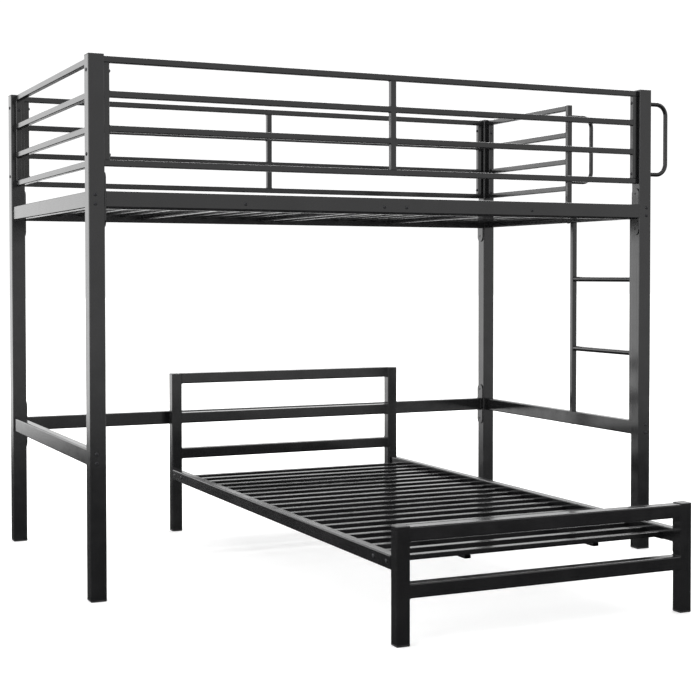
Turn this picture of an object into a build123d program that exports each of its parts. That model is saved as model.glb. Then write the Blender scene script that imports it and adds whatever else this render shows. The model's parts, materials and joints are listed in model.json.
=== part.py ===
"""Steel loft bunk with a ladder and a free-standing lower bed that stands across it.

Frame: millimetres, +Z up, Z = 0 on the floor. X runs along the loft's long side, Y from the
lower bed's foot (negative) to the loft's back. The origin is the bottom centre of the whole
object's box. Every frame is welded from straight tubes; a weldment is written as a group of
touching tubes.
"""
import os

from build123d import *

# ---------------------------------------------------------------- driving dimensions
LOFT_LENGTH = 2066.0
LOFT_DEPTH = 1190.0
LOFT_HEIGHT = 1670.0
POST = 50.0                # square post tube
POST_WALL = 1.2
CORNER = 4.0               # outer corner radius of the larger tubes, caps and feet
CAP = 5.0                  # plate of a post cap, above the tube
FOOT = 6.0                 # plastic foot under a tube

GUARD = 20.0               # square guard tube
GUARD_WALL = 0.8
GUARD_PITCH = 105.0        # spacing of the guard bars
GUARD_BARS = 4
GUARD_BOLT_DROP = (44.0, 299.0)    # guard bolts, below the top of the guard
ENTRY_FROM_FRONT = 500.0   # ladder entry, from the loft's front face to the end guard
END_CAP = 2.0              # plate welded over the free end upright

RAIL_H = 50.0              # rails and stretchers are 50 x 30 tube
RAIL_T = 30.0
RAIL_WALL = 1.0
RAIL_Z = 1229.0            # centre height of the mattress-level rails
LOW_Z = 439.0              # centre height of the low rail and stretchers
END_INSET = 5.0            # end rails lie this far inside the posts' outer faces
PLATE_LENGTH = 170.0
PLATE_WIDTH = 42.0
PLATE_T = 4.0
PLATE_BOLT = 63.0          # plate bolts above and below the rail's centre
END_BOLT = 14.0            # end rail bolts above and below the rail's centre

RUNG = 19.0
LADDER_TUBE = 20.0
LADDER_NEAR = 64.0         # outer stile, from the loft's front face
LADDER_FAR = 463.0         # inner stile, from the loft's front face
RUNG_Z = (712.0, 983.0)

HANDLE_ROD = 16.0
HANDLE_REACH = 88.0        # from the post's outer face to the handle's outer edge
HANDLE_BEND = 40.0

DECK_BAR = (20.0, 40.0)    # bars along the deck's long sides, width and height
DECK_BAR_TOP = 1241.0
DECK_TIE = (25.0, 25.0)    # cross ties, width and height
DECK_TOP = 1238.0
DECK_PITCH = 81.5          # spacing of slats and ties
DECK_PLACES = 12           # slats and ties in each of the two deck panels
DECK_TIES = (0, 6)         # places taken by a tie, counted from the loft's middle

BED_WIDTH = 972.0
BED_LENGTH = 2021.0
BED_LEFT = 601.0           # from the loft's left face to the lower bed
BED_GAP = 8.0              # headboard to the loft's back posts
BED_POST = 40.0
BED_WALL = 1.0
HEAD_HEIGHT = 616.0
FOOT_HEIGHT = 327.0
BED_CAP = 4.0
HEAD_BAR_TOPS = {"top": 616.0, "middle": 462.0, "bottom": 323.0}
FOOT_BAR_TOPS = {"top": 323.0, "bottom": 169.0}
SIDE_H = 40.0
SIDE_T = 30.0
SIDE_Z = 223.0
BRACKET_LENGTH = 130.0
BRACKET_WIDTH = 34.0
TONGUE = 136.0
SIDE_BOLTS = (27.0, 109.0) # side rail bolts, from the post's face
BED_SLATS = 21
SLAT_TOP = 226.0
SLAT_END_GAP = 61.0        # last slat to the boards
UNDER_BAR_X = 215.0        # under bars, from the bed's middle
UNDER_BAR_H = 10.0

SLAT_W = 25.0              # slats of both beds
SLAT_H = 15.0
BOLT_R = 3.0
HOLE_R = 3.4
HEAD_R = 6.0
HEAD_H = 2.5
SOCKET_R = 2.3

# ---------------------------------------------------------------- places
x_left = -(LOFT_LENGTH + HANDLE_REACH - HEAD_H) / 2
x_right = x_left + LOFT_LENGTH
x_mid = (x_left + x_right) / 2
foot_board_front = LOFT_DEPTH - POST - BED_GAP - BED_LENGTH       # from the loft's front face
y_front = -(LOFT_DEPTH + foot_board_front + HEAD_H) / 2
y_back = y_front + LOFT_DEPTH
post_x = (x_left + POST / 2, x_right - POST / 2)
post_y = (y_front + POST / 2, y_back - POST / 2)
tube_top = LOFT_HEIGHT - CAP
post_bore = POST - 2 * POST_WALL - 0.4        # plugs are 0.2 clear all round
bed_bore = BED_POST - 2 * BED_WALL - 0.4
guard_z = [tube_top - GUARD / 2 - n * GUARD_PITCH for n in range(GUARD_BARS)]
guard_bolt_z = [tube_top - drop for drop in GUARD_BOLT_DROP]
entry_y = y_front + ENTRY_FROM_FRONT
deck_places = [DECK_PITCH * (n + 0.5) for n in range(DECK_PLACES)]    # from the loft's middle
deck_bolts_x = [x_mid + sign * deck_places[n] for n in DECK_TIES for sign in (-1, 1)]
deck_bolt_z = RAIL_Z - 5
end_x = (x_left + END_INSET + RAIL_T / 2, x_right - END_INSET - RAIL_T / 2)
long_y = (y_front + RAIL_T / 2, y_back - RAIL_T / 2)

bed_x0 = x_left + BED_LEFT
bed_x1 = bed_x0 + BED_WIDTH
bed_y1 = y_back - POST - BED_GAP
bed_y0 = bed_y1 - BED_LENGTH
bed_post_x = (bed_x0 + BED_POST / 2, bed_x1 - BED_POST / 2)
head_y = bed_y1 - BED_POST / 2
foot_y = bed_y0 + BED_POST / 2
head_face = bed_y1 - BED_POST
foot_face = bed_y0 + BED_POST


# ---------------------------------------------------------------- shared shapes
def hollow_section(width, height, wall):
    """Rounded box section, width along the plane's X and height along its Y."""
    corner = min(CORNER, 0.5 + 0.11 * min(width, height))
    with BuildSketch() as section:
        RectangleRounded(width, height, corner)
        RectangleRounded(width - 2 * wall, height - 2 * wall, max(corner - wall, 0.3), mode=Mode.SUBTRACT)
    return section.sketch


def bar_x(x0, x1, y, z, depth, height, wall):
    """Tube along X; depth is its size in Y and height its size in Z."""
    with BuildPart() as bar:
        with BuildSketch(Plane(origin=(x0, y, z), x_dir=(0, 1, 0), z_dir=(1, 0, 0))):
            add(hollow_section(depth, height, wall))
        extrude(amount=x1 - x0)
    return bar.part


def bar_y(y0, y1, x, z, width, height, wall):
    """Tube along Y; width is its size in X and height its size in Z."""
    with BuildPart() as bar:
        with BuildSketch(Plane(origin=(x, y0, z), x_dir=(1, 0, 0), z_dir=(0, 1, 0))):
            add(hollow_section(width, height, wall))
        extrude(amount=y1 - y0)
    return bar.part


def bar_z(z0, z1, x, y, size, wall):
    """Square tube standing on its end."""
    with BuildPart() as bar:
        with BuildSketch(Plane(origin=(x, y, z0))):
            add(hollow_section(size, size, wall))
        extrude(amount=z1 - z0)
    return bar.part


def drilled(solid, direction, points, depth, radius=HOLE_R):
    """The solid with round holes that start at the points and run depth along direction."""
    with BuildPart() as piece:
        add(solid)
        for point in points:
            with BuildSketch(Plane(origin=point, z_dir=direction)):
                Circle(radius)
            extrude(amount=depth, mode=Mode.SUBTRACT)
    return piece.part


def bolt(seat, direction, grip):
    """Low domed bolt with a hex socket: the head sits on the seat, the shank runs along direction."""
    with BuildPart() as screw:
        with BuildSketch(Plane(origin=seat, z_dir=direction)):
            Circle(BOLT_R)
        extrude(amount=grip)
        back = tuple(-value for value in direction)
        with BuildSketch(Plane(origin=seat, z_dir=back)):
            Circle(HEAD_R)
        extrude(amount=HEAD_H, taper=30)
        top = tuple(place + step * HEAD_H for place, step in zip(seat, back))
        with BuildSketch(Plane(origin=top, z_dir=direction)):
            RegularPolygon(SOCKET_R, 6)
        extrude(amount=HEAD_H * 0.8, mode=Mode.SUBTRACT)
    return screw.part


def cap_nut(seat, direction, height=5.0):
    """Closed hex nut whose bore is open towards the seat."""
    with BuildPart() as nut:
        with BuildSketch(Plane(origin=seat, z_dir=direction)):
            RegularPolygon(5.5, 6)
            Circle(BOLT_R + 0.1, mode=Mode.SUBTRACT)
        extrude(amount=height - 1.5)
        top = tuple(place + step * (height - 1.5) for place, step in zip(seat, direction))
        with BuildSketch(Plane(origin=top, z_dir=direction)):
            RegularPolygon(5.5, 6)
        extrude(amount=1.5, taper=30)
    return nut.part


def save(solids, label):
    """Write one sub-part: a single solid, or a group of separate ones."""
    piece = solids[0] if len(solids) == 1 else Compound(children=solids)
    piece.label = label
    export_step(piece, f"parts/{label}.step")


os.makedirs("parts", exist_ok=True)

# ---------------------------------------------------------------- loft: posts, caps and feet
sides = {"left": 0, "right": 1}
ends = {"front": 0, "back": 1}
rail_bolt_z = [z + step for z in (RAIL_Z,) for step in (-PLATE_BOLT, PLATE_BOLT)]
low_bolt_z = [LOW_Z - PLATE_BOLT, LOW_Z + PLATE_BOLT]
end_bolt_z = [z + step for z in (RAIL_Z, LOW_Z) for step in (-END_BOLT, END_BOLT)]
plate_y = (y_front + 2 + PLATE_WIDTH / 2, y_back - 2 - PLATE_WIDTH / 2)

for end, iy in ends.items():
    for side, ix in sides.items():
        x, y = post_x[ix], post_y[iy]
        outer = (x_left, x_right)[ix]
        inward = (1 - 2 * ix, 0, 0)
        face = outer + (1 - 2 * ix) * POST
        outer_y = (y_front, y_back)[iy]
        depthward = (0, 1 - 2 * iy, 0)
        tube = bar_z(FOOT, tube_top, x, y, POST, POST_WALL)
        tube = drilled(tube, inward, [(outer, y, z) for z in guard_bolt_z], POST)
        plates_z = rail_bolt_z + (low_bolt_z if end == "back" else [])
        towards_outer = (2 * ix - 1, 0, 0)
        tube = drilled(tube, towards_outer, [(face, plate_y[iy], z) for z in plates_z], 4 * POST_WALL)
        tube = drilled(tube, depthward, [(end_x[ix], outer_y, z) for z in end_bolt_z], POST)
        if not (end == "front" and side == "right"):
            inner_y = outer_y + (1 - 2 * iy) * POST
            outward = (0, 2 * iy - 1, 0)
            tube = drilled(tube, outward, [(x, inner_y, z - 10) for z in guard_bolt_z], 4 * POST_WALL)
        save([tube], f"post_{end}_{side}")

caps = []
feet = []
for x in post_x:
    for y in post_y:
        with BuildPart() as post_cap:
            with BuildSketch(Plane(origin=(x, y, tube_top))):
                RectangleRounded(POST, POST, CORNER)
            extrude(amount=CAP)
            chamfer(post_cap.faces().sort_by(Axis.Z)[-1].edges(), 1.2)
            with BuildSketch(Plane(origin=(x, y, tube_top - 14))):
                RectangleRounded(post_bore, post_bore, CORNER - POST_WALL)
            extrude(amount=14)
        caps.append(post_cap.part)
        with BuildPart() as post_foot:
            with BuildSketch(Plane(origin=(x, y, 0))):
                RectangleRounded(POST, POST, CORNER)
            extrude(amount=FOOT)
            with BuildSketch(Plane(origin=(x, y, FOOT))):
                RectangleRounded(post_bore, post_bore, CORNER - POST_WALL)
            extrude(amount=14)
        feet.append(post_foot.part)
save(caps, "post_caps")
save(feet, "post_feet")

# ---------------------------------------------------------------- loft: guard frames
upright_low = guard_z[-1] + GUARD / 2
upright_high = guard_z[0] - GUARD / 2


def guard_upright(x, y):
    return bar_z(upright_low, upright_high, x, y, GUARD, GUARD_WALL)


x_in = (x_left + POST, x_right - POST)
y_in = (y_front + POST, y_back - POST)
for end, iy in ends.items():
    y = post_y[iy]
    tubes = [bar_x(x_in[0], x_in[1], y, guard_z[0], GUARD, GUARD, GUARD_WALL)]
    tubes.append(bar_x(x_in[0], x_in[1], y, guard_z[-1], GUARD, GUARD, GUARD_WALL))
    for x, step in ((x_in[0] + GUARD / 2, 1), (x_in[1] - GUARD / 2, -1)):
        upright = guard_upright(x, y)
        start = x - step * GUARD / 2
        tubes.append(drilled(upright, (step, 0, 0), [(start, y, z) for z in guard_bolt_z], GUARD))
    tubes.append(guard_upright(x_mid, y))
    for z in guard_z[1:-1]:
        tubes.append(bar_x(x_in[0] + GUARD, x_mid - GUARD / 2, y, z, GUARD, GUARD, GUARD_WALL))
        tubes.append(bar_x(x_mid + GUARD / 2, x_in[1] - GUARD, y, z, GUARD, GUARD, GUARD_WALL))
    save(tubes, f"guard_{end}")

blind_z = [z - 10 for z in guard_bolt_z]
for side, ix in sides.items():
    x = post_x[ix]
    near = y_in[0] if side == "left" else entry_y
    top_start = near if side == "left" else near + GUARD
    tubes = [bar_y(top_start, y_in[1], x, guard_z[0], GUARD, GUARD, GUARD_WALL)]
    far_upright = guard_upright(x, y_in[1] - GUARD / 2)
    holes = [(x, y_in[1] - GUARD, z) for z in blind_z]
    tubes.append(drilled(far_upright, (0, 1, 0), holes, GUARD))
    if side == "left":
        tubes.append(bar_y(near, y_in[1], x, guard_z[-1], GUARD, GUARD, GUARD_WALL))
        near_upright = guard_upright(x, near + GUARD / 2)
        holes = [(x, near + GUARD, z) for z in blind_z]
        tubes.append(drilled(near_upright, (0, -1, 0), holes, GUARD))
    else:
        tubes.append(bar_y(near + GUARD, y_in[1], x, guard_z[-1], GUARD, GUARD, GUARD_WALL))
        free_y = near + GUARD / 2
        free_top = tube_top - END_CAP
        free_upright = bar_z(RAIL_Z + RAIL_H / 2, free_top, x, free_y, GUARD, GUARD_WALL)
        holes = [(x - GUARD / 2, free_y, z) for z in guard_bolt_z]
        tubes.append(drilled(free_upright, (1, 0, 0), holes, GUARD))
        with BuildPart() as end_cap:
            with BuildSketch(Plane(origin=(x, free_y, free_top))):
                RectangleRounded(GUARD, GUARD, 2.7)
            extrude(amount=END_CAP)
        tubes.append(end_cap.part)
    for z in guard_z[1:-1]:
        tubes.append(bar_y(near + GUARD, y_in[1] - GUARD, x, z, GUARD, GUARD, GUARD_WALL))
    save(tubes, f"guard_{side}")

# ---------------------------------------------------------------- loft: rails and stretchers
def end_plate(x, y, z, step):
    """Upright bolting plate with round ends, from x towards the rail."""
    with BuildPart() as plate:
        with BuildSketch(Plane(origin=(x, y, z), x_dir=(0, 1, 0), z_dir=(1, 0, 0))):
            SlotOverall(PLATE_LENGTH, PLATE_WIDTH, rotation=90)
            with Locations((0, PLATE_BOLT), (0, -PLATE_BOLT)):
                Circle(HOLE_R, mode=Mode.SUBTRACT)
        extrude(amount=step * PLATE_T)
    return plate.part


for end, z, label in (("front", RAIL_Z, "rail_front"), ("back", RAIL_Z, "rail_back"),
                      ("back", LOW_Z, "low_rail_back")):
    iy = ends[end]
    tube = bar_x(x_in[0] + PLATE_T, x_in[1] - PLATE_T, long_y[iy], z, RAIL_T, RAIL_H, RAIL_WALL)
    if z == RAIL_Z:
        depthward = (0, 1 - 2 * iy, 0)
        outer_y = (y_front, y_back)[iy]
        seats = [(x, outer_y, deck_bolt_z) for x in deck_bolts_x]
        tube = drilled(tube, depthward, seats, RAIL_T)
    plates = [end_plate(x_in[0], plate_y[iy], z, 1), end_plate(x_in[1], plate_y[iy], z, -1)]
    save([tube] + plates, label)

for side, ix in sides.items():
    for z, label in ((RAIL_Z, f"rail_end_{side}"), (LOW_Z, f"stretcher_{side}")):
        x = end_x[ix]
        tube = bar_y(y_in[0], y_in[1], x, z, RAIL_T, RAIL_H, RAIL_WALL)
        if side == "right":
            ladder_y = [y_front + LADDER_NEAR + LADDER_TUBE / 2, y_front + LADDER_FAR + LADDER_TUBE / 2]
            if z == RAIL_Z:
                ladder_y.append(entry_y + GUARD / 2)
            bottom = z - RAIL_H / 2
            tube = drilled(tube, (0, 0, 1), [(post_x[1], y, bottom) for y in ladder_y], RAIL_H)
        blocks = []
        for y, step in ((y_in[0], 1), (y_in[1], -1)):
            with BuildPart() as block:
                with BuildSketch(Plane(origin=(x, y, z), x_dir=(1, 0, 0), z_dir=(0, 1, 0))):
                    RectangleRounded(RAIL_T - 2 * RAIL_WALL - 0.4, RAIL_H - 2 * RAIL_WALL - 0.4, 3)
                    with Locations((0, END_BOLT), (0, -END_BOLT)):
                        Circle(BOLT_R + 0.1, mode=Mode.SUBTRACT)
                extrude(amount=step * 10)
            blocks.append(block.part)
        save([tube] + blocks, label)

# ---------------------------------------------------------------- ladder
stile_low = LOW_Z + RAIL_H / 2
stile_high = RAIL_Z - RAIL_H / 2
for name, offset in (("outer", LADDER_NEAR), ("inner", LADDER_FAR)):
    y = y_front + offset + LADDER_TUBE / 2
    stile = bar_z(stile_low, stile_high, post_x[1], y, LADDER_TUBE, GUARD_WALL)
    save([stile], f"ladder_stile_{name}")
for name, z in zip(("lower", "upper"), RUNG_Z):
    start = y_front + LADDER_NEAR + LADDER_TUBE
    with BuildPart() as rung:
        with BuildSketch(Plane(origin=(post_x[1], start, z), z_dir=(0, 1, 0))):
            Circle(RUNG / 2)
            Circle(RUNG / 2 - GUARD_WALL, mode=Mode.SUBTRACT)
        extrude(amount=LADDER_FAR - LADDER_NEAR - LADDER_TUBE)
    save([rung.part], f"ladder_rung_{name}")

# ---------------------------------------------------------------- grab handles
reach_x = x_right + HANDLE_REACH - HANDLE_ROD / 2
handle_low = guard_bolt_z[1]
handle_high = guard_bolt_z[0]
for name, start, y in (("post", x_right, post_y[0]),
                       ("guard", post_x[1] + GUARD / 2, entry_y + GUARD / 2)):
    with BuildPart() as handle:
        with BuildLine(Plane.XZ.offset(-y)) as route:
            FilletPolyline((start, handle_low), (reach_x, handle_low), (reach_x, handle_high),
                           (start, handle_high), radius=HANDLE_BEND)
        with BuildSketch(Plane(origin=(start, y, handle_low), z_dir=(1, 0, 0))):
            Circle(HANDLE_ROD / 2)
        sweep()
        for z in (handle_low, handle_high):
            with BuildSketch(Plane(origin=(start, y, z), z_dir=(1, 0, 0))):
                Circle(BOLT_R + 0.1)
            extrude(amount=20, mode=Mode.SUBTRACT)
    save([handle.part], f"grab_handle_{name}")

# ---------------------------------------------------------------- loft deck: two slatted panels
deck_y = (y_front + RAIL_T, y_back - RAIL_T)
span_y = (deck_y[0] + DECK_BAR[0], deck_y[1] - DECK_BAR[0])
bar_clear = POST + PLATE_T - END_INSET - RAIL_T    # bars stop short of the post plates
deck_end = LOFT_LENGTH / 2 - END_INSET - RAIL_T
for side, ix in sides.items():
    sign = 2 * ix - 1
    slats = []
    bars = []
    run = sorted((x_mid + sign, x_mid + sign * (deck_end - bar_clear)))
    for y, inward, face in ((deck_y[0] + DECK_BAR[0] / 2, 1, deck_y[0]),
                            (deck_y[1] - DECK_BAR[0] / 2, -1, deck_y[1])):
        z = DECK_BAR_TOP - DECK_BAR[1] / 2
        bar = bar_x(run[0], run[1], y, z, DECK_BAR[0], DECK_BAR[1], GUARD_WALL)
        seats = [(x, face, deck_bolt_z) for x in deck_bolts_x if run[0] < x < run[1]]
        bars.append(drilled(bar, (0, inward, 0), seats, 4 * GUARD_WALL))
    for n, gap in enumerate(deck_places):
        x = x_mid + sign * gap
        if n in DECK_TIES:
            z = DECK_TOP - DECK_TIE[1] / 2
            bars.append(bar_y(span_y[0], span_y[1], x, z, DECK_TIE[0], DECK_TIE[1], GUARD_WALL))
        else:
            z = DECK_TOP - SLAT_H / 2
            slats.append(bar_y(span_y[0], span_y[1], x, z, SLAT_W, SLAT_H, GUARD_WALL))
    save(slats, f"deck_slats_{side}")
    save(bars, f"deck_bars_{side}")

# ---------------------------------------------------------------- loft fasteners
guard_bolts = []
guard_nuts = []
for ix, iy in ((0, 0), (0, 1), (1, 1)):
    step = 1 - 2 * ix
    outer = (x_left, x_right)[ix]
    for z in guard_bolt_z:
        guard_bolts.append(bolt((outer, post_y[iy], z), (step, 0, 0), POST + GUARD + 3))
        guard_nuts.append(cap_nut((outer + step * (POST + GUARD), post_y[iy], z), (step, 0, 0)))
for x, y, step in ((post_x[0], y_in[0] + GUARD, -1), (post_x[0], y_in[1] - GUARD, 1),
                   (post_x[1], y_in[1] - GUARD, 1)):
    for z in blind_z:
        guard_bolts.append(bolt((x, y, z), (0, step, 0), GUARD + 5))
save(guard_bolts, "guard_bolts")
save(guard_nuts, "guard_nuts")

handle_bolts = []
for z in guard_bolt_z:
    handle_bolts.append(bolt((x_right - POST - GUARD, post_y[0], z), (1, 0, 0), POST + GUARD + 15))
    handle_bolts.append(bolt((post_x[1] - GUARD / 2, entry_y + GUARD / 2, z), (1, 0, 0), GUARD + 15))
save(handle_bolts, "handle_bolts")

plate_bolts = []
for x, step in ((x_in[0] + PLATE_T, -1), (x_in[1] - PLATE_T, 1)):
    for z in rail_bolt_z:
        plate_bolts.append(bolt((x, plate_y[0], z), (step, 0, 0), PLATE_T + 5))
    for z in rail_bolt_z + low_bolt_z:
        plate_bolts.append(bolt((x, plate_y[1], z), (step, 0, 0), PLATE_T + 5))
save(plate_bolts, "plate_bolts")

end_bolts = []
for x in end_x:
    for y, step in ((y_front, 1), (y_back, -1)):
        for z in end_bolt_z:
            end_bolts.append(bolt((x, y, z), (0, step, 0), POST + 8))
save(end_bolts, "end_rail_bolts")

deck_bolts = []
for y, step in ((y_front, 1), (y_back, -1)):
    for x in deck_bolts_x:
        deck_bolts.append(bolt((x, y, deck_bolt_z), (0, step, 0), RAIL_T + 6))
save(deck_bolts, "deck_bolts")

ladder_bolts = []
for offset in (LADDER_NEAR, LADDER_FAR):
    y = y_front + offset + LADDER_TUBE / 2
    ladder_bolts.append(bolt((post_x[1], y, LOW_Z - RAIL_H / 2), (0, 0, 1), RAIL_H + 12))
    ladder_bolts.append(bolt((post_x[1], y, RAIL_Z + RAIL_H / 2), (0, 0, -1), RAIL_H + 12))
ladder_bolts.append(bolt((post_x[1], entry_y + GUARD / 2, RAIL_Z - RAIL_H / 2), (0, 0, 1), RAIL_H + 12))
save(ladder_bolts, "ladder_bolts")

# ---------------------------------------------------------------- lower bed: boards
def bed_caps(top):
    """Cap on each of a board's two posts."""
    result = []
    for x in bed_post_x:
        y = head_y if top == HEAD_HEIGHT else foot_y
        with BuildPart() as cap:
            with BuildSketch(Plane(origin=(x, y, top - BED_CAP))):
                RectangleRounded(BED_POST, BED_POST, CORNER)
            extrude(amount=BED_CAP)
            chamfer(cap.faces().sort_by(Axis.Z)[-1].edges(), 1.2)
            with BuildSketch(Plane(origin=(x, y, top - BED_CAP - 12))):
                RectangleRounded(bed_bore, bed_bore, CORNER - BED_WALL)
            extrude(amount=12)
        result.append(cap.part)
    return result


bar_run = (bed_x0 + BED_POST, bed_x1 - BED_POST)
for board, y, top, bars in (("head", head_y, HEAD_HEIGHT, HEAD_BAR_TOPS),
                            ("foot", foot_y, FOOT_HEIGHT, FOOT_BAR_TOPS)):
    for side, ix in sides.items():
        post = bar_z(FOOT, top - BED_CAP, bed_post_x[ix], y, BED_POST, BED_WALL)
        save([post], f"bed_{board}_post_{side}")
    for place, bar_top in bars.items():
        bar = bar_x(bar_run[0], bar_run[1], y, bar_top - BED_POST / 2, BED_POST, BED_POST, BED_WALL)
        save([bar], f"bed_{board}_bar_{place}")
    save(bed_caps(top), f"bed_{board}_caps")

bed_feet = []
for x in bed_post_x:
    for y in (head_y, foot_y):
        with BuildPart() as bed_foot:
            with BuildSketch(Plane(origin=(x, y, 0))):
                RectangleRounded(BED_POST, BED_POST, CORNER)
            extrude(amount=FOOT)
            with BuildSketch(Plane(origin=(x, y, FOOT))):
                RectangleRounded(bed_bore, bed_bore, CORNER - BED_WALL)
            extrude(amount=12)
        bed_feet.append(bed_foot.part)
save(bed_feet, "bed_feet")

# ---------------------------------------------------------------- lower bed: side rails and brackets
side_x = (bed_x0 + SIDE_T / 2, bed_x1 - SIDE_T / 2)
bolt_y = [head_face - gap for gap in SIDE_BOLTS] + [foot_face + gap for gap in SIDE_BOLTS]
bed_bolts = []
for side, ix in sides.items():
    outward = 2 * ix - 1
    outer = (bed_x0, bed_x1)[ix]
    tube = bar_y(foot_face + PLATE_T, head_face - PLATE_T, side_x[ix], SIDE_Z, SIDE_T, SIDE_H, BED_WALL)
    tube = drilled(tube, (-outward, 0, 0), [(outer, y, SIDE_Z) for y in bolt_y], 2 * BED_WALL)
    save([tube], f"bed_side_rail_{side}")
    brackets = []
    for y, step in ((head_face, -1), (foot_face, 1)):
        with BuildPart() as bracket:
            with BuildSketch(Plane(origin=(bed_post_x[ix], y, SIDE_Z + 7), x_dir=(1, 0, 0), z_dir=(0, 1, 0))):
                SlotOverall(BRACKET_LENGTH, BRACKET_WIDTH, rotation=90)
            extrude(amount=step * PLATE_T)
            tongue_x = outer - outward * (BED_WALL + 2.2)
            with BuildSketch(Plane(origin=(tongue_x, y, SIDE_Z), x_dir=(1, 0, 0), z_dir=(0, 1, 0))):
                Rectangle(4.0, SIDE_H - 2 * BED_WALL - 6)
            extrude(amount=step * TONGUE)
            for gap in SIDE_BOLTS:
                with BuildSketch(Plane(origin=(outer, y + step * gap, SIDE_Z), z_dir=(-outward, 0, 0))):
                    Circle(BOLT_R + 0.1)
                extrude(amount=10, mode=Mode.SUBTRACT)
        brackets.append(bracket.part)
    save(brackets, f"bed_brackets_{side}")
    bed_bolts += [bolt((outer, y, SIDE_Z), (-outward, 0, 0), 10) for y in bolt_y]
save(bed_bolts, "bed_bolts")

# ---------------------------------------------------------------- lower bed: slatted base
slat_x = (bed_x0 + SIDE_T, bed_x1 - SIDE_T)
slat_z = SLAT_TOP - SLAT_H / 2
slat_first = foot_face + SLAT_END_GAP + SLAT_W / 2
slat_last = head_face - SLAT_END_GAP - SLAT_W / 2
slat_pitch = (slat_last - slat_first) / (BED_SLATS - 1)
slats = [bar_x(slat_x[0], slat_x[1], slat_first + n * slat_pitch, slat_z, SLAT_W, SLAT_H, GUARD_WALL)
         for n in range(BED_SLATS)]
save(slats, "bed_slats")

under_top = SLAT_TOP - SLAT_H
under_y = (slat_first - SLAT_W / 2, slat_last + SLAT_W / 2)
bed_mid = (bed_x0 + bed_x1) / 2
under_bars = []
for x in (bed_mid - UNDER_BAR_X, bed_mid + UNDER_BAR_X):
    under_bars.append(bar_y(under_y[0], under_y[1], x, under_top - UNDER_BAR_H / 2, GUARD, UNDER_BAR_H,
                            GUARD_WALL))
save(under_bars, "bed_under_bars")

ledges = []
for ix, x in enumerate(slat_x):
    sign = 1 - 2 * ix
    with BuildPart() as ledge:
        with BuildSketch(Plane(origin=(x, under_y[0], under_top), x_dir=(1, 0, 0), z_dir=(0, -1, 0))):
            with BuildLine():
                Polyline((0, 0), (sign * 18, 0), (sign * 18, -2), (sign * 2, -2), (sign * 2, -8),
                         (0, -8), close=True)
            make_face()
        extrude(amount=-(under_y[1] - under_y[0]))
    ledges.append(ledge.part)
save(ledges, "bed_slat_ledges")
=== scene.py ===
"""Finishes, fittings and studio for a steel loft bunk with a ladder and a separate lower bed.

Laid out as an add-on: property groups hold the sizes and colours, one operator makes each group
of like pieces, and a sidebar panel lists them. Lengths are metres unless a property says else.
"""

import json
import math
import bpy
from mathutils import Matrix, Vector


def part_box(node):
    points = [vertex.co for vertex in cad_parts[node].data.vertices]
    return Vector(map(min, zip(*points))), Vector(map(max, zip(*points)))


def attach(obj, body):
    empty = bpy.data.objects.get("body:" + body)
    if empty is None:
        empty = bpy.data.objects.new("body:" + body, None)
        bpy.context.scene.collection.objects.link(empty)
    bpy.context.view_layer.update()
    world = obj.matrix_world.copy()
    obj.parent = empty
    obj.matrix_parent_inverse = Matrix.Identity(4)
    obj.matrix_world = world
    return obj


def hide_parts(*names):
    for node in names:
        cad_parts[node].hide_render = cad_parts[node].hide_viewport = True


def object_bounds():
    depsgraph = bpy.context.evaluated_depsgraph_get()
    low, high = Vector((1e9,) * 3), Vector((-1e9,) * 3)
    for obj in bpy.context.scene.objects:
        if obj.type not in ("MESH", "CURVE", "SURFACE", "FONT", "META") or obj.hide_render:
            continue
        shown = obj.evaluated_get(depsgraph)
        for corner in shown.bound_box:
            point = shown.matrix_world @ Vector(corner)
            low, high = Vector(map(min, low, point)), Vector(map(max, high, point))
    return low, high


bl_info = {
    "name": "Steel Bunk Bed",
    "version": (1, 0, 0),
    "blender": (4, 5, 0),
    "location": "View3D > Sidebar > Bunk Bed",
    "description": "Powder coat, welds, caps, feet, bolts and handles for a steel bunk bed",
    "category": "Object",
}

import bmesh
import bpy
import numpy as np
from bpy.props import FloatProperty, FloatVectorProperty, IntProperty, PointerProperty
from mathutils import Vector

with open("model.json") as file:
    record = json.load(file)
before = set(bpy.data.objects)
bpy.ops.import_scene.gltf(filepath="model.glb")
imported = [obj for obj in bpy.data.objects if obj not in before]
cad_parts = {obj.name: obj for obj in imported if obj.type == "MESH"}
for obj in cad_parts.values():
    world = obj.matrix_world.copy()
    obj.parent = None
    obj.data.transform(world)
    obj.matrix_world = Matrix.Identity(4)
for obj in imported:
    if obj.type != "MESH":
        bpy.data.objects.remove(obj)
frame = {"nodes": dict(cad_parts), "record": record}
CAD_BOX = [list(corner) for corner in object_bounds()]
MM = 0.001

LOFT = "loft"
LOWER_BED = "lower_bed"

TUBE_SLOT = "black_powder_coat"
SLAT_SLOT = "black_powder_coat_slats"
PLASTIC_SLOT = "black_plastic"
FASTENER_SLOT = "black_zinc"


# ---------------------------------------------------------------- reading the frame
def vertex_places(node):
    """Vertices of a CAD node's mesh, as an array with a row for each."""
    mesh = frame["nodes"][node].data
    places = np.empty(len(mesh.vertices) * 3)
    mesh.vertices.foreach_get("co", places)
    return places.reshape(-1, 3)


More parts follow.
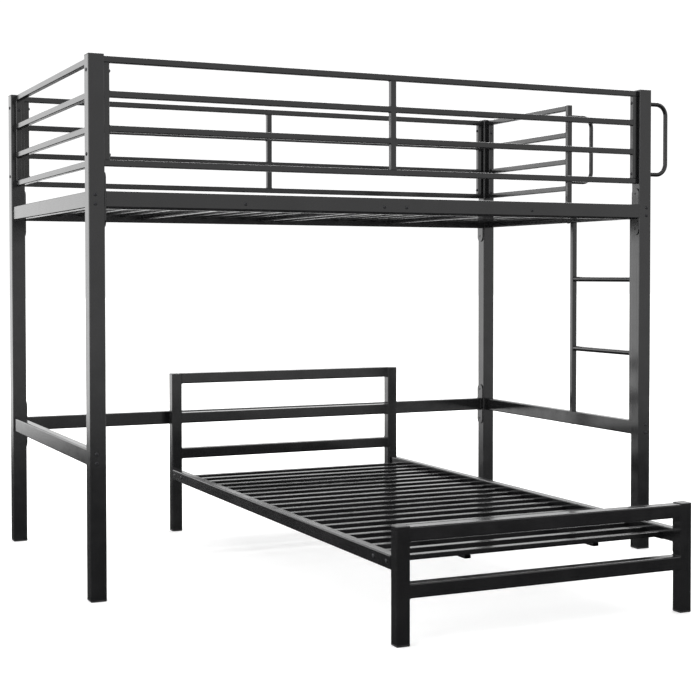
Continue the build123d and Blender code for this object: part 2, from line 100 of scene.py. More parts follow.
def solids_of(node):
    """Boxes of a node's separate solids, as an array of (low, high) corner pairs.

    Vertices at one place count as one, and a label spreads over every triangle until all the
    corners of one solid share it.
    """
    places = vertex_places(node)
    mesh = frame["nodes"][node].data
    corners = np.empty(len(mesh.loops), np.int64)
    mesh.loops.foreach_get("vertex_index", corners)
    _, same = np.unique(np.round(places, 6), axis=0, return_inverse=True)
    triangles = same.ravel()[corners].reshape(-1, 3)
    label = np.arange(same.max() + 1)
    changed = True
    while changed:
        lowest = label[triangles].min(axis=1)
        new = label.copy()
        for column in triangles.T:
            np.minimum.at(new, column, lowest)
        changed = bool((new != label).any())
        label = new
    owner = label[same.ravel()]
    return np.array([[places[owner == k].min(axis=0), places[owner == k].max(axis=0)]
                     for k in np.unique(owner)])


def axis_vector(axis, sign=1.0):
    """Unit vector along axis 0, 1 or 2, or against it."""
    direction = np.zeros(3)
    direction[axis] = sign
    return direction


def across(direction):
    """Two unit vectors that make a right-handed set with a direction along an axis."""
    first = np.roll(np.abs(direction), 1)
    return first, np.cross(direction, first)


# ---------------------------------------------------------------- surfaces
MERGE_WITHIN = 0.004 * MM
THINNEST_FACE = 0.001 * MM


def grid_faces(rows, columns, wrap_rows=False):
    """Quads of a grid whose columns close on themselves; its rows may close too."""
    row_count = rows if wrap_rows else rows - 1
    i, j = np.meshgrid(np.arange(row_count), np.arange(columns), indexing="ij")
    i, j = i.ravel(), j.ravel()
    below, beside = (i + 1) % rows, (j + 1) % columns
    return np.stack([i * columns + j, i * columns + beside,
                     below * columns + beside, below * columns + j], axis=1)


def surface(points, wrap_rows=False):
    """A grid of points, rows by columns by 3, as flat vertices and quads."""
    rows, columns = points.shape[:2]
    return points.reshape(-1, 3), grid_faces(rows, columns, wrap_rows)


def rounded_outline(half_x, half_y, radius, arc_points):
    """Rounded rectangle: four quarter arcs of the radius about the corner centres, in order."""
    quarter = np.linspace(0.0, math.pi / 2, arc_points)
    starts = np.arange(4) * math.pi / 2
    angle = (starts[:, None] + quarter[None, :]).ravel()
    signs_x = np.repeat([1, -1, -1, 1], arc_points)
    signs_y = np.repeat([1, 1, -1, -1], arc_points)
    x = signs_x * (half_x - radius) + radius * np.cos(angle)
    y = signs_y * (half_y - radius) + radius * np.sin(angle)
    return np.stack([x, y], axis=1)


def moulded_block(centre, half, corner, profile, arc_points=6):
    """Square moulding: at each (inset, height) of the profile the rounded square is drawn in by
    the inset and lifted to the height. Its corner radius shrinks by the inset too, down to a
    share of the full one. The last rows draw in to the middle and close it."""
    least_share, most_of_side, closed = 0.35, 0.98, 0.001 * MM
    rows = []
    for inset, height in profile:
        side = max(half - inset, closed)
        radius = min(max(corner - inset, corner * least_share), side * most_of_side)
        ring = rounded_outline(side, side, radius, arc_points)
        rows.append(np.column_stack([ring, np.full(len(ring), height)]))
    return surface(np.array(rows) + np.asarray(centre))


def turned(profile, start, direction, sides, hexagon=()):
    """Profile of (radius, height) turned about a line. Rows named in hexagon follow a regular
    hexagon: their radius is divided by the cosine of the angle from the nearest flat."""
    angle = np.linspace(0.0, 2 * math.pi, sides, endpoint=False)
    flat = np.cos((angle + math.pi / 6) % (math.pi / 3) - math.pi / 6)
    first, second = across(direction)
    rows = []
    for k, (radius, height) in enumerate(profile):
        reach = radius / flat if k in hexagon else np.full(sides, radius)
        ring = (reach * np.cos(angle))[:, None] * first + (reach * np.sin(angle))[:, None] * second
        rows.append(ring + height * direction)
    return surface(np.array(rows) + np.asarray(start))


def weld_bead(centre, direction, half_first, half_second, corner, radius, ripples,
              ripple_steps=4, fewest_steps=24, round_steps=7, swell=0.14, arc_points=5):
    """Ring of weld around a tube's end. A circle of the bead's radius runs round the tube's
    outline, and the radius swells and shrinks as a sine of the place along it."""
    ring = rounded_outline(half_first, half_second, corner, arc_points)
    step = np.linalg.norm(np.roll(ring, -1, axis=0) - ring, axis=1)
    along = np.concatenate([[0.0], np.cumsum(step)])
    sample = np.linspace(0.0, along[-1], max(fewest_steps, ripples * ripple_steps), endpoint=False)
    closed = np.vstack([ring, ring[:1]])
    x = np.interp(sample, along, closed[:, 0])
    y = np.interp(sample, along, closed[:, 1])
    first, second = across(direction)
    line = x[:, None] * first + y[:, None] * second
    tangent = np.roll(line, -1, axis=0) - np.roll(line, 1, axis=0)
    tangent /= np.linalg.norm(tangent, axis=1)[:, None]
    outward = np.cross(tangent, direction)
    size = radius * (1 + swell * np.sin(2 * math.pi * ripples * sample / along[-1]))
    turn = np.linspace(0.0, 2 * math.pi, round_steps, endpoint=False)
    points = (line[:, None, :]
              + (size[:, None] * np.cos(turn))[..., None] * outward[:, None, :]
              + (size[:, None] * np.sin(turn))[..., None] * direction)
    return surface(points + np.asarray(centre), wrap_rows=True)


def bent_rod(start, reach, low, high, y, bend, radius, sides=24, bend_steps=14):
    """Round rod that leaves a post, turns up, runs up and comes back: two quarter circles of
    the bend radius joined by straight runs, with a circle of the rod's radius carried along.
    The circle shrinks almost to a point at either end and closes it."""
    closed = 1e-4
    quarter = np.linspace(0.0, math.pi / 2, bend_steps)
    out, up = reach - bend + bend * np.sin(quarter), low + bend - bend * np.cos(quarter)
    back, over = reach - bend + bend * np.cos(quarter), high - bend + bend * np.sin(quarter)
    lower, upper = np.stack([out, up], axis=1), np.stack([back, over], axis=1)
    line = np.vstack([[[start, low]], lower, upper, [[start, high]]])
    tangent = np.gradient(line, axis=0)
    tangent[0] = tangent[1] = (1, 0)
    tangent[-1] = tangent[-2] = (-1, 0)
    tangent /= np.linalg.norm(tangent, axis=1)[:, None]
    side = np.stack([-tangent[:, 1], tangent[:, 0]], axis=1)
    turn = np.linspace(0.0, 2 * math.pi, sides, endpoint=False)
    size = radius * np.concatenate([[closed], np.ones(len(line)), [closed]])[:, None]
    line = np.vstack([line[:1], line, line[-1:]])
    side = np.vstack([side[:1], side, side[-1:]])
    x = line[:, :1] + size * np.cos(turn) * side[:, :1]
    z = line[:, 1:] + size * np.cos(turn) * side[:, 1:]
    depth = y + size * np.sin(turn)
    return surface(np.stack([x, depth, z], axis=2))


def make_piece(name, patches, slot, body, replaced=(), sharp=35.0):
    """One object from many patches: seams and poles merged, faces turned outwards, shading
    smooth except over edges sharper than the angle in degrees."""
    vertices, quads, offset = [], [], 0
    for points, faces in patches:
        vertices.append(points)
        quads.append(faces + offset)
        offset += len(points)
    mesh = bpy.data.meshes.new(name)
    mesh.from_pydata(np.concatenate(vertices), [], np.concatenate(quads))
    work = bmesh.new()
    work.from_mesh(mesh)
    bmesh.ops.remove_doubles(work, verts=work.verts, dist=MERGE_WITHIN)
    bmesh.ops.dissolve_degenerate(work, dist=THINNEST_FACE, edges=work.edges)
    bmesh.ops.recalc_face_normals(work, faces=work.faces)
    work.to_mesh(mesh)
    work.free()
    mesh.polygons.foreach_set("use_smooth", np.ones(len(mesh.polygons), bool))
    mesh.set_sharp_from_angle(angle=math.radians(sharp))
    mesh.materials.append(material_for(slot))
    piece = bpy.data.objects.new(name, mesh)
    bpy.context.scene.collection.objects.link(piece)
    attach(piece, body)
    if replaced:
        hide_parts(*replaced)
    return piece


# ---------------------------------------------------------------- finishes
NOISE_RANGE = (0.3, 0.7)
TINT_RANGE = (0.35, 0.65)


def new_material(name):
    """A node material, with its tree and its surface shader."""
    material = bpy.data.materials.new(name)
    material.use_nodes = True
    return material, material.node_tree, material.node_tree.nodes["Principled BSDF"]


def object_noise(tree, scale, detail):
    """Noise read from the object's own coordinates, with its scale in cells per metre."""
    place = tree.nodes.new("ShaderNodeTexCoord")
    noise = tree.nodes.new("ShaderNodeTexNoise")
    noise.inputs["Scale"].default_value = scale
    noise.inputs["Detail"].default_value = detail
    tree.links.new(place.outputs["Object"], noise.inputs["Vector"])
    return noise.outputs["Fac"]


def map_range(tree, source, start, end, smooth=False):
    """Node that carries the start range of a source to the end range, with soft ends if smooth."""
    node = tree.nodes.new("ShaderNodeMapRange")
    node.interpolation_type = "SMOOTHSTEP" if smooth else "LINEAR"
    for name, value in zip(("From Min", "From Max", "To Min", "To Max"), (*start, *end)):
        node.inputs[name].default_value = value
    tree.links.new(source, node.inputs["Value"])
    return node.outputs["Result"]


def tint(tree, source, dark, light):
    """Colour ramp between two close tones."""
    ramp = tree.nodes.new("ShaderNodeValToRGB")
    for stop, position, colour in zip(ramp.color_ramp.elements, TINT_RANGE, (dark, light)):
        stop.position = position
        stop.color = (*colour, 1)
    tree.links.new(source, ramp.inputs["Fac"])
    return ramp.outputs["Color"]


def bump(tree, source, strength, height, under=None):
    """Bump of a height, laid over another bump if one is under it."""
    node = tree.nodes.new("ShaderNodeBump")
    node.inputs["Strength"].default_value = strength
    node.inputs["Distance"].default_value = height
    tree.links.new(source, node.inputs["Height"])
    if under is not None:
        tree.links.new(under, node.inputs["Normal"])
    return node.outputs["Normal"]


def powder_coat(name, coat):
    """Satin powder coat: a fine orange peel over a slow unevenness, and small changes of gloss
    and tone from one stretch of tube to the next."""
    smoother, rougher = 0.03, 0.04
    material, tree, shader = new_material(name)
    tone = tint(tree, object_noise(tree, scale=6.0, detail=4.0), coat.dark, coat.light)
    gloss = map_range(tree, object_noise(tree, scale=22.0, detail=5.0), NOISE_RANGE,
                      (coat.roughness - smoother, coat.roughness + rougher))
    slow = bump(tree, object_noise(tree, scale=60.0, detail=2.0), strength=0.05, height=0.6 * MM)
    peel = bump(tree, object_noise(tree, coat.peel_scale, detail=2.0), coat.peel_strength,
                height=0.25 * MM, under=slow)
    tree.links.new(tone, shader.inputs["Base Color"])
    tree.links.new(gloss, shader.inputs["Roughness"])
    tree.links.new(peel, shader.inputs["Normal"])
    return material


def moulded_plastic(name, plastic):
    """Moulded plastic: flat sheen with a fine spark-eroded grain."""
    change = 0.06
    material, tree, shader = new_material(name)
    tone = tint(tree, object_noise(tree, scale=40.0, detail=3.0), plastic.dark, plastic.light)
    gloss = map_range(tree, object_noise(tree, scale=300.0, detail=4.0), NOISE_RANGE,
                      (plastic.roughness - change, plastic.roughness + change))
    grain = bump(tree, object_noise(tree, scale=2600.0, detail=1.0), strength=0.25,
                 height=0.1 * MM)
    tree.links.new(tone, shader.inputs["Base Color"])
    tree.links.new(gloss, shader.inputs["Roughness"])
    tree.links.new(grain, shader.inputs["Normal"])
    return material


def black_oxide(name, fastener):
    """Oiled black oxide on a bolt: part metallic, with faint turning marks and brighter wear."""
    change = 0.08
    material, tree, shader = new_material(name)
    wear = object_noise(tree, scale=700.0, detail=5.0)
    tone = tint(tree, wear, fastener.dark, fastener.light)
    gloss = map_range(tree, wear, NOISE_RANGE,
                      (fastener.roughness - change, fastener.roughness + change))
    marks = bump(tree, object_noise(tree, scale=3500.0, detail=2.0), strength=0.15,
                 height=0.08 * MM)
    tree.links.new(tone, shader.inputs["Base Color"])
    tree.links.new(gloss, shader.inputs["Roughness"])
    tree.links.new(marks, shader.inputs["Normal"])
    shader.inputs["Metallic"].default_value = fastener.metal
    return material


# ---------------------------------------------------------------- settings
def tone_property(name, value, description):
    """A colour that the user may change."""
    return FloatVectorProperty(name=name, description=description, default=value, size=3,
                               subtype="COLOR", min=0.0, max=1.0)


def share_property(name, value, description, low=0.0):
    """A number up to 1 that the user may change."""
    return FloatProperty(name=name, description=description, default=value, min=low, max=1.0,
                         subtype="FACTOR")


def length_property(name, value, description):
    """A length that the user may change."""
    return FloatProperty(name=name, description=description, default=value, unit="LENGTH")


class BunkCoat(bpy.types.PropertyGroup):
    """Powder coat on the tubes"""
    dark: tone_property("Dark Tone", (0.005, 0.005, 0.0054), "Darker tone of the coat")
    light: tone_property("Light Tone", (0.0075, 0.0075, 0.008), "Lighter tone of the coat")
    roughness: share_property("Roughness", 0.15, "Middle of the coat's roughness", low=0.05)
    peel_scale: FloatProperty(name="Peel Scale", description="Orange peel cells per metre",
                              default=520.0, min=10.0)
    peel_strength: share_property("Peel Strength", 0.06, "Depth of the orange peel")


class BunkPlastic(bpy.types.PropertyGroup):
    """Plastic of caps and feet"""
    dark: tone_property("Dark Tone", (0.012, 0.012, 0.0125), "Darker tone of the plastic")
    light: tone_property("Light Tone", (0.018, 0.018, 0.0185), "Lighter tone of the plastic")
    roughness: share_property("Roughness", 0.42, "Middle of the plastic's roughness", low=0.05)
    crown: length_property("Crown", 1.2 * MM, "Height of a cap's crown over its rim")
    corner: length_property("Corner", 3.5 * MM, "Corner radius of caps and feet")


class BunkFastener(bpy.types.PropertyGroup):
    """Bolts and nuts"""
    dark: tone_property("Dark Tone", (0.02, 0.02, 0.022), "Tone of the oxide")
    light: tone_property("Light Tone", (0.06, 0.06, 0.065), "Tone of the worn oxide")
    roughness: share_property("Roughness", 0.38, "Middle of the oxide's roughness", low=0.05)
    metal: share_property("Metal", 0.75, "How far the oxide shows metal")
    socket: length_property("Socket", 2.0 * MM, "Half the width of the hex socket")
    sides: IntProperty(name="Sides", description="Steps round a bolt head", default=24, min=12)


class BunkHandle(bpy.types.PropertyGroup):
    """Grab handles"""
    rod: length_property("Rod", 8.0 * MM, "Radius of the handles' round rod")
    bend: length_property("Bend", 40.0 * MM, "Radius of a bend, along the middle of the rod")


class BunkWeld(bpy.types.PropertyGroup):
    """Weld beads"""
    radius: length_property("Bead", 1.7 * MM, "Radius of a weld bead")
    ripple: length_property("Ripple", 3.2 * MM, "Length of one ripple along a bead")
    corner: length_property("Tube Corner", 2.5 * MM, "Corner radius that a bead follows")
    proud: length_property("Proud", 0.15 * MM, "Height of a ground weld over a flush face")


class BunkStage(bpy.types.PropertyGroup):
    """Floor, lights and camera"""
    floor: tone_property("Floor", (0.92, 0.92, 0.92), "Colour of the floor")
    floor_glow: FloatProperty(name="Floor Glow", description="Light the paper floor passes through",
                              default=0.28, min=0.0)
    sky: FloatProperty(name="Sky", description="Brightness of the room above the floor",
                       default=1.1, min=0.0)
    under: FloatProperty(name="Under", description="Brightness of the room below the floor line",
                         default=0.07, min=0.0)
    floor_line: FloatProperty(name="Floor Line",
                              description="Sine of the angle where the room dims",
                              default=-0.105, min=-1.0, max=1.0)
    window_bearing: FloatProperty(name="Window Bearing", description="Window, from +Y towards +X",
                                  default=math.radians(-50.0), subtype="ANGLE")
    window_reach: FloatProperty(name="Window Reach", description="Half angle of the window",
                                default=math.radians(50.0), subtype="ANGLE")
    window_power: FloatProperty(name="Window Power", description="Brightness added by the window",
                                default=1.3, min=0.0)
    back_power: FloatProperty(name="Back Power", description="Watts of the high light behind",
                              default=420.0, min=0.0)
    side_power: FloatProperty(name="Side Power",
                              description="Watts of the soft light at the front left",
                              default=80.0, min=0.0)
    camera_place: FloatVectorProperty(
        name="Camera", description="Camera from the foot of the loft's front left corner",
        default=(-1.1144, -4.3788, 0.9979), size=3, subtype="XYZ", unit="LENGTH")
    yaw: FloatProperty(name="Yaw", description="Camera's turn from +Y towards +X",
                       default=math.radians(25.78), subtype="ANGLE")
    pitch: FloatProperty(name="Pitch", description="Camera's tilt below the horizon",
                         default=math.radians(1.64), subtype="ANGLE")
    lens: FloatProperty(name="Lens", description="Focal length in millimetres on a 36 mm sensor",
                        default=75.24, min=10.0)
    shift_x: FloatProperty(name="Shift X", description="Sideways lens shift", default=-0.0529)
    shift_y: FloatProperty(name="Shift Y", description="Upward lens shift", default=-0.0469)


GROUPS = {"bunk_coat": BunkCoat, "bunk_plastic": BunkPlastic, "bunk_fastener": BunkFastener,
          "bunk_handle": BunkHandle, "bunk_weld": BunkWeld, "bunk_stage": BunkStage}


def settings(name):
    """The scene's values of one property group."""
    return getattr(bpy.context.scene, name)


# ---------------------------------------------------------------- operators: frame
FINISHES = {TUBE_SLOT: (powder_coat, "bunk_coat"), SLAT_SLOT: (powder_coat, "bunk_coat"),
            PLASTIC_SLOT: (moulded_plastic, "bunk_plastic"),
            FASTENER_SLOT: (black_oxide, "bunk_fastener")}


def material_for(slot):
    """The finish of a material slot, made once."""
    name = "finish_" + slot
    if name in bpy.data.materials:
        return bpy.data.materials[name]
    finish, group = FINISHES[slot]
    return finish(name, settings(group))


class BUNK_OT_finish_frame(bpy.types.Operator):
    """Give every CAD node the finish of its material slot"""
    bl_idname = "bunk.finish_frame"
    bl_label = "Finish Frame"

    def execute(self, context):
        slots = {part["node"]: part["material_slot"] for part in frame["record"]["subparts"]}
        for name, node in frame["nodes"].items():
            for place in node.material_slots:
                place.material = material_for(slots[name])
        return {"FINISHED"}


# ---------------------------------------------------------------- operators: plastic
CAP_NODES = {"post_caps": LOFT, "bed_head_caps": LOWER_BED, "bed_foot_caps": LOWER_BED}
CAP_THICKNESS = {LOFT: 5 * MM, LOWER_BED: 4 * MM}
FOOT_NODES = {"post_feet": LOFT, "bed_feet": LOWER_BED}
SOLE_THICKNESS = 6 * MM
PLUG_INSET = 2 * MM

# Edge of a cap as (inset, drop below the crown's foot), and of a sole as (inset, height).
CAP_EDGE = ((0.0, 1.0 * MM), (0.35 * MM, 0.35 * MM), (1.1 * MM, 0.0))
SOLE_EDGE = ((3.5 * MM, 0.0), (1.4 * MM, 0.4 * MM), (0.3 * MM, 1.6 * MM), (0.0, 3.0 * MM))
# The crown flattens towards the middle: shares of its height still to climb.
CROWN_INSET = 4 * MM
CROWN_LEFT_AT_INSET, CROWN_LEFT_HALFWAY = 0.55, 0.1


def cap_profile(half, top, body, plastic):
    """A plug that fills the tube, a rim the size of the post and a low crown."""
    seat, shoulder = top - CAP_THICKNESS[body], top - plastic.crown
    return [(half, 0.0), (PLUG_INSET, 0.0), (PLUG_INSET, seat), (0.0, seat),
            *((inset, shoulder - drop) for inset, drop in CAP_EDGE),
            (CROWN_INSET, top - plastic.crown * CROWN_LEFT_AT_INSET),
            (half * 0.5, top - plastic.crown * CROWN_LEFT_HALFWAY), (half, top)]


def foot_profile(half, top, body, plastic):
    """A sole with a rounded edge and a plug that fills the tube."""
    return [(half, 0.0), *SOLE_EDGE, (0.0, SOLE_THICKNESS), (PLUG_INSET, SOLE_THICKNESS),
            (PLUG_INSET, top), (half, top)]


def mould(nodes, profile_of):
    """One moulded piece for each node, with a block in the place of each of its solids."""
    plastic = settings("bunk_plastic")
    for node, body in nodes.items():
        patches = []
        for low, high in solids_of(node):
            half = (high[0] - low[0]) / 2
            centre = (low + high) / 2
            centre[2] = low[2]
            profile = profile_of(half, high[2] - low[2], body, plastic)
            patches.append(moulded_block(centre, half, plastic.corner, profile))
        make_piece("moulded_" + node, patches, PLASTIC_SLOT, body, [node])


class BUNK_OT_caps(bpy.types.Operator):
    """Mould the caps on the posts of the loft and of the lower bed"""
    bl_idname = "bunk.caps"
    bl_label = "Post Caps"

    def execute(self, context):
        mould(CAP_NODES, cap_profile)
        return {"FINISHED"}


class BUNK_OT_feet(bpy.types.Operator):
    """Mould the feet under the posts"""
    bl_idname = "bunk.feet"
    bl_label = "Post Feet"

    def execute(self, context):
        mould(FOOT_NODES, foot_profile)
        return {"FINISHED"}


# ---------------------------------------------------------------- operators: fasteners
BOLT_NODES = {"guard_bolts": LOFT, "handle_bolts": LOFT, "plate_bolts": LOFT,
              "end_rail_bolts": LOFT, "deck_bolts": LOFT, "ladder_bolts": LOFT,
              "bed_bolts": LOWER_BED}
HEAD_RADIUS, HEAD_HEIGHT = 6.0 * MM, 2.5 * MM
SHANK_RADIUS, SHANK_CHAMFER = 3.0 * MM, 0.8 * MM
SOCKET_DEPTH, SOCKET_EDGE_DEPTH, SOCKET_CHAMFER = 1.9 * MM, 0.1 * MM, 0.25 * MM
SOCKET_TAPER = 0.98
SOCKET_ROWS = (1, 2)
# Dome of a bolt head as (radius, drop below its top), from the socket's rim outwards.
HEAD_DOME = ((3.4 * MM, 0.12 * MM), (4.6 * MM, 0.55 * MM), (5.5 * MM, 1.25 * MM),
             (HEAD_RADIUS, 2.1 * MM))

NUT_NODE = "guard_nuts"
# Cap nut as (radius, height over its seat), from the bore's end, out and up to the dome's top.
# Its flat rows are as wide as half the distance between two opposite flats.
NUT_PROFILE = ((0.0, 3.2 * MM), (3.1 * MM, 3.2 * MM), (3.1 * MM, 0.0), (4.2 * MM, 0.0),
               (4.7 * MM, 0.4 * MM), (4.7 * MM, 2.8 * MM), (4.4 * MM, 3.3 * MM),
               (3.9 * MM, 4.2 * MM), (2.4 * MM, 4.8 * MM), (0.0, 5.0 * MM))
NUT_FLAT_ROWS = (3, 4, 5)


def head_sign(places, low, high, axis):
    """1 if the wide end of the bolt in a box is its high end, -1 if it is the low one."""
    margin, clearly_head = 0.01 * MM, HEAD_RADIUS - 1 * MM
    middle = (low + high) / 2
    points = places[np.all((places > low - margin) & (places < high + margin), axis=1)]
    away = np.linalg.norm(np.delete(points - middle, axis, axis=1), axis=1)
    return 1.0 if points[away > clearly_head][:, axis].mean() > middle[axis] else -1.0


def bolt_patch(places, low, high, fastener):
    """One bolt: a domed head with a hex socket, and its shank with a chamfered end."""
    socket = fastener.socket
    axis = int(np.argmax(high - low))
    length = (high - low)[axis]
    sign = head_sign(places, low, high, axis)
    top = (low + high) / 2
    top[axis] = high[axis] if sign > 0 else low[axis]
    profile = [(0.0, -SOCKET_DEPTH), (socket * SOCKET_TAPER, -SOCKET_DEPTH),
               (socket, -SOCKET_EDGE_DEPTH), (socket + SOCKET_CHAMFER, 0.0),
               *((radius, -drop) for radius, drop in HEAD_DOME),
               (HEAD_RADIUS, -HEAD_HEIGHT), (SHANK_RADIUS, -HEAD_HEIGHT),
               (SHANK_RADIUS, -length + SHANK_CHAMFER),
               (SHANK_RADIUS - SHANK_CHAMFER, -length), (0.0, -length)]
    return turned(profile, top, axis_vector(axis, sign), fastener.sides, hexagon=SOCKET_ROWS)


def nut_patch(low, high, fastener):
    """One cap nut, seated on the end of its box that is nearer to the loft's end."""
    sign = 1.0 if low[0] + high[0] < 0 else -1.0
    seat = (low + high) / 2
    seat[0] = low[0] if sign > 0 else high[0]
    return turned(NUT_PROFILE, seat, axis_vector(0, sign), fastener.sides, hexagon=NUT_FLAT_ROWS)


class BUNK_OT_bolts(bpy.types.Operator):
    """Turn the bolts with domed heads and hex sockets, and the nuts behind the guard bolts"""
    bl_idname = "bunk.bolts"
    bl_label = "Bolts and Nuts"

    def execute(self, context):
        fastener = settings("bunk_fastener")
        for node, body in BOLT_NODES.items():
            places = vertex_places(node)
            patches = [bolt_patch(places, low, high, fastener) for low, high in solids_of(node)]
            make_piece("turned_" + node, patches, FASTENER_SLOT, body, [node])
        patches = [nut_patch(low, high, fastener) for low, high in solids_of(NUT_NODE)]
        make_piece("turned_" + NUT_NODE, patches, FASTENER_SLOT, LOFT, [NUT_NODE])
        return {"FINISHED"}


# ---------------------------------------------------------------- operators: handles and welds
HANDLE_NODES = ("grab_handle_post", "grab_handle_guard")


class BUNK_OT_handles(bpy.types.Operator):
    """Bend the two grab handles from round rod"""
    bl_idname = "bunk.handles"
    bl_label = "Grab Handles"

    def execute(self, context):
        handle = settings("bunk_handle")
        for node in HANDLE_NODES:
            low, high = (np.array(corner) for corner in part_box(node))
            rod = bent_rod(low[0], high[0] - handle.rod, low[2] + handle.rod,
                           high[2] - handle.rod, (low[1] + high[1]) / 2, handle.bend, handle.rod)
            make_piece("bent_" + node, [rod], TUBE_SLOT, LOFT, [node])
        return {"FINISHED"}


WELDMENTS = {
    "guard_front": (LOFT, ["guard_front"]),
    "guard_back": (LOFT, ["guard_back"]),
    "guard_left": (LOFT, ["guard_left"]),
    "guard_right": (LOFT, ["guard_right"]),
    "rail_front": (LOFT, ["rail_front"]),
    "rail_back": (LOFT, ["rail_back"]),
    "low_rail_back": (LOFT, ["low_rail_back"]),
    "ladder": (LOFT, ["ladder_stile_inner", "ladder_stile_outer", "ladder_rung_lower",
                      "ladder_rung_upper"]),
    "deck_left": (LOFT, ["deck_bars_left", "deck_slats_left"]),
    "deck_right": (LOFT, ["deck_bars_right", "deck_slats_right"]),
    "headboard": (LOWER_BED, ["bed_head_post_left", "bed_head_post_right", "bed_head_bar_top",
                              "bed_head_bar_middle", "bed_head_bar_bottom"]),
    "footboard": (LOWER_BED, ["bed_foot_post_left", "bed_foot_post_right", "bed_foot_bar_top",
                              "bed_foot_bar_bottom"]),
}
WITH_ROUND_BARS = ("ladder",)
LEAST_SLENDERNESS = 3
WELD_SHARP_ANGLE = 80.0


def butt_weld(boxes, low, high, axis, sign, weld, round_bar):
    """Bead round the end of a bar where it butts against another box, or None at a free end.

    The bead follows the outline that the bar shares with the other tube, and is ground down to
    just over any face where the two are flush. It stays inside the object's own box.
    """
    probe_gap, skin, roundest = 0.5 * MM, 0.02 * MM, 0.98
    end = (low + high) / 2
    end[axis] = high[axis] if sign > 0 else low[axis]
    probe = end + axis_vector(axis, sign * probe_gap)
    touching = np.all((boxes[:, 0] < probe) & (probe < boxes[:, 1]), axis=1)
    if not touching.any():
        return None
    sides = np.delete(np.arange(3), axis)
    other_low, other_high = boxes[touching][0]
    near, far = np.maximum(low, other_low), np.minimum(high, other_high)
    end[sides] = ((near + far) / 2)[sides]
    direction = axis_vector(axis, -sign)
    half_first, half_second = (abs((far - near) @ side) / 2 for side in across(direction))
    corner = min(half_first, half_second) * roundest if round_bar else weld.corner
    ripples = int(4 * (half_first + half_second) / weld.ripple)
    points, faces = weld_bead(end, direction, half_first, half_second, corner, weld.radius, ripples)
    points[:, sides] = np.clip(points[:, sides], other_low[sides] - weld.proud,
                               other_high[sides] + weld.proud)
    return np.clip(points, np.add(CAD_BOX[0], skin), np.subtract(CAD_BOX[1], skin)), faces


class BUNK_OT_welds(bpy.types.Operator):
    """Run a weld bead round every tube end that butts against another tube of its frame"""
    bl_idname = "bunk.welds"
    bl_label = "Weld Beads"

    def execute(self, context):
        weld = settings("bunk_weld")
        for label, (body, nodes) in WELDMENTS.items():
            boxes = np.concatenate([solids_of(node) for node in nodes])
            beads = []
            for low, high in boxes:
                width, length = np.sort(high - low)[1:]
                if length < LEAST_SLENDERNESS * width:
                    continue
                axis = int(np.argmax(high - low))
                beads += [butt_weld(boxes, low, high, axis, sign, weld, label in WITH_ROUND_BARS)
                          for sign in (-1.0, 1.0)]
            made = [bead for bead in beads if bead is not None]
            make_piece("welds_" + label, made, TUBE_SLOT, body, sharp=WELD_SHARP_ANGLE)
        return {"FINISHED"}


# ---------------------------------------------------------------- stage
FLOOR_REACH = 60.0
FLOOR_ROUGHNESS, FLOOR_SHEEN = 0.9, 0.1
WHITE = (1, 1, 1, 1)
DIMMING_WIDTH = 0.02
WINDOW_CORE = 0.2
LIGHT_ON_MATT = 0.2
SENSOR_WIDTH = 36.0
FARTHEST_SEEN = 200.0
# Place, target, width and height of each soft light.
BACK_LIGHT = ((3.8, 5.2, 5.6), (0.0, 0.0, 0.6), 7.0, 3.4)
SIDE_LIGHT = ((-6.0, -3.0, 2.0), (0.0, 0.0, 0.9), 3.0, 3.0)


def softbox(name, power, place, target, width, height):
    """Rectangular area light at a place, turned to face a target."""
    light = bpy.data.lights.new(name, "AREA")
    light.shape = "RECTANGLE"
    light.size, light.size_y, light.energy = width, height, power
    light.diffuse_factor = LIGHT_ON_MATT
    lamp = bpy.data.objects.new(name, light)
    bpy.context.scene.collection.objects.link(lamp)
    lamp.location = place
    lamp.rotation_euler = (Vector(target) - Vector(place)).to_track_quat("-Z", "Y").to_euler()


def calculated(tree, operation, first, second):
    """Math node of two sources, where the second may be a number."""
    node = tree.nodes.new("ShaderNodeMath")
    node.operation = operation
    tree.links.new(first, node.inputs[0])
    if isinstance(second, (int, float)):
        node.inputs[1].default_value = second
    else:
        tree.links.new(second, node.inputs[1])
    return node.outputs["Value"]


def room_light(stage):
    """White room: even above the floor line, dim below it, with one long bright window that
    fills a cone of directions round the window's bearing and is brightest in its core."""
    world = bpy.data.worlds.new("studio")
    world.use_nodes = True
    tree = world.node_tree
    background = tree.nodes["Background"]
    place = tree.nodes.new("ShaderNodeTexCoord")
    split = tree.nodes.new("ShaderNodeSeparateXYZ")
    tree.links.new(place.outputs["Generated"], split.inputs["Vector"])
    above = map_range(tree, split.outputs["Z"], (stage.floor_line - DIMMING_WIDTH,
                                                 stage.floor_line + DIMMING_WIDTH),
                      (0.0, 1.0), smooth=True)
    aim = tree.nodes.new("ShaderNodeVectorMath")
    aim.operation = "DOT_PRODUCT"
    bearing, reach = stage.window_bearing, stage.window_reach
    aim.inputs[1].default_value = (math.sin(bearing), math.cos(bearing), 0.0)
    tree.links.new(place.outputs["Generated"], aim.inputs[0])
    beam = map_range(tree, aim.outputs["Value"], (math.cos(reach), math.cos(reach * WINDOW_CORE)),
                     (0.0, 1.0), smooth=True)
    glow = calculated(tree, "MULTIPLY", beam, stage.window_power)
    full = calculated(tree, "ADD", glow, stage.sky - stage.under)
    lit = calculated(tree, "MULTIPLY", above, full)
    total = calculated(tree, "ADD", lit, stage.under)
    tree.links.new(total, background.inputs["Strength"])
    background.inputs["Color"].default_value = WHITE
    return world


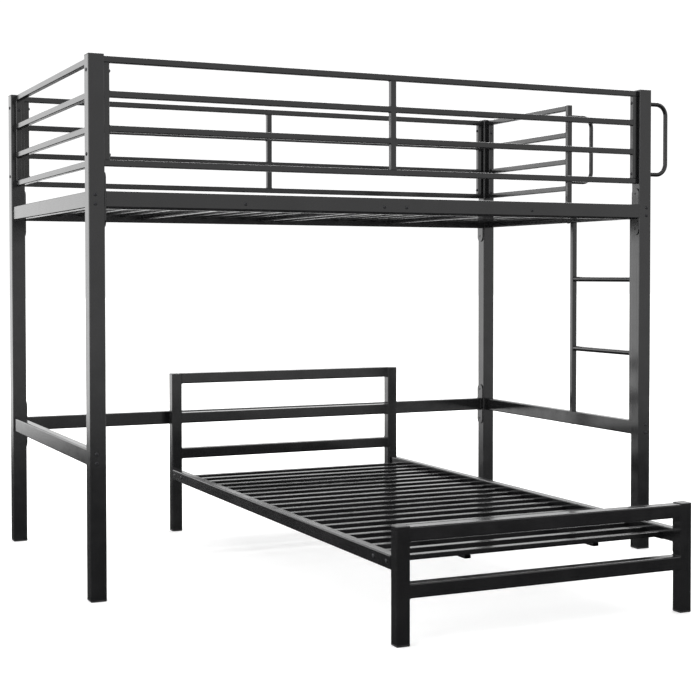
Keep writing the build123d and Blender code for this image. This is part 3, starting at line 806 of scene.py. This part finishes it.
def lay_floor(stage):
    """Square of pale paper that lets a little light through and isn't mirrored in the coat."""
    material, _, shader = new_material("floor_paper")
    shader.inputs["Base Color"].default_value = (*stage.floor, 1)
    shader.inputs["Roughness"].default_value = FLOOR_ROUGHNESS
    shader.inputs["Specular IOR Level"].default_value = FLOOR_SHEEN
    shader.inputs["Emission Color"].default_value = WHITE
    shader.inputs["Emission Strength"].default_value = stage.floor_glow
    corners = [(x * FLOOR_REACH, y * FLOOR_REACH, 0)
               for x, y in ((-1, -1), (1, -1), (1, 1), (-1, 1))]
    mesh = bpy.data.meshes.new("floor")
    mesh.from_pydata(corners, [], [(0, 1, 2, 3)])
    mesh.materials.append(material)
    floor = bpy.data.objects.new("floor", mesh)
    bpy.context.scene.collection.objects.link(floor)
    floor.visible_glossy = False


def stand_camera(stage):
    """Camera at its place from the loft's front left corner, turned by its yaw and pitch."""
    lens = bpy.data.cameras.new("camera")
    lens.sensor_width = SENSOR_WIDTH
    lens.lens = stage.lens
    lens.shift_x, lens.shift_y = stage.shift_x, stage.shift_y
    lens.clip_end = FARTHEST_SEEN
    camera = bpy.data.objects.new("camera", lens)
    bpy.context.scene.collection.objects.link(camera)
    corner = Vector(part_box("post_front_left")[0])
    camera.location = Vector((corner.x, corner.y, 0)) + Vector(stage.camera_place)
    forward = Vector((math.sin(stage.yaw) * math.cos(stage.pitch),
                      math.cos(stage.yaw) * math.cos(stage.pitch), -math.sin(stage.pitch)))
    camera.rotation_euler = forward.to_track_quat("-Z", "Y").to_euler()
    bpy.context.scene.camera = camera


class BUNK_OT_stage(bpy.types.Operator):
    """Lay the pale floor, hang the soft lights and set up the camera"""
    bl_idname = "bunk.stage"
    bl_label = "Stage"

    def execute(self, context):
        stage = settings("bunk_stage")
        context.scene.view_settings.view_transform = "Standard"
        lay_floor(stage)
        context.scene.world = room_light(stage)
        softbox("back", stage.back_power, *BACK_LIGHT)
        softbox("side", stage.side_power, *SIDE_LIGHT)
        stand_camera(stage)
        return {"FINISHED"}


# ---------------------------------------------------------------- panel and registration
STEPS = (BUNK_OT_finish_frame, BUNK_OT_caps, BUNK_OT_feet, BUNK_OT_bolts, BUNK_OT_handles,
         BUNK_OT_welds, BUNK_OT_stage)


class BUNK_PT_panel(bpy.types.Panel):
    """Sizes, colours and steps of the bunk bed"""
    bl_idname = "BUNK_PT_panel"
    bl_label = "Steel Bunk Bed"
    bl_space_type = "VIEW_3D"
    bl_region_type = "UI"
    bl_category = "Bunk Bed"

    def draw(self, context):
        for name, group in GROUPS.items():
            box = self.layout.box()
            box.label(text=group.__doc__)
            for key in group.__annotations__:
                box.prop(getattr(context.scene, name), key)
        for step in STEPS:
            self.layout.operator(step.bl_idname)


def register():
    """Add the property groups, operators and panel to Blender."""
    for group in GROUPS.values():
        bpy.utils.register_class(group)
    for step in STEPS:
        bpy.utils.register_class(step)
    bpy.utils.register_class(BUNK_PT_panel)
    for name, group in GROUPS.items():
        setattr(bpy.types.Scene, name, PointerProperty(type=group))


def unregister():
    """Take them out again, the last added first."""
    for name in GROUPS:
        delattr(bpy.types.Scene, name)
    bpy.utils.unregister_class(BUNK_PT_panel)
    for step in reversed(STEPS):
        bpy.utils.unregister_class(step)
    for group in reversed(GROUPS.values()):
        bpy.utils.unregister_class(group)


def main():
    """Run every step in order."""
    register()
    for step in STEPS:
        getattr(bpy.ops.bunk, step.bl_idname.split(".")[1])()


if __name__ == "__main__":
    main()
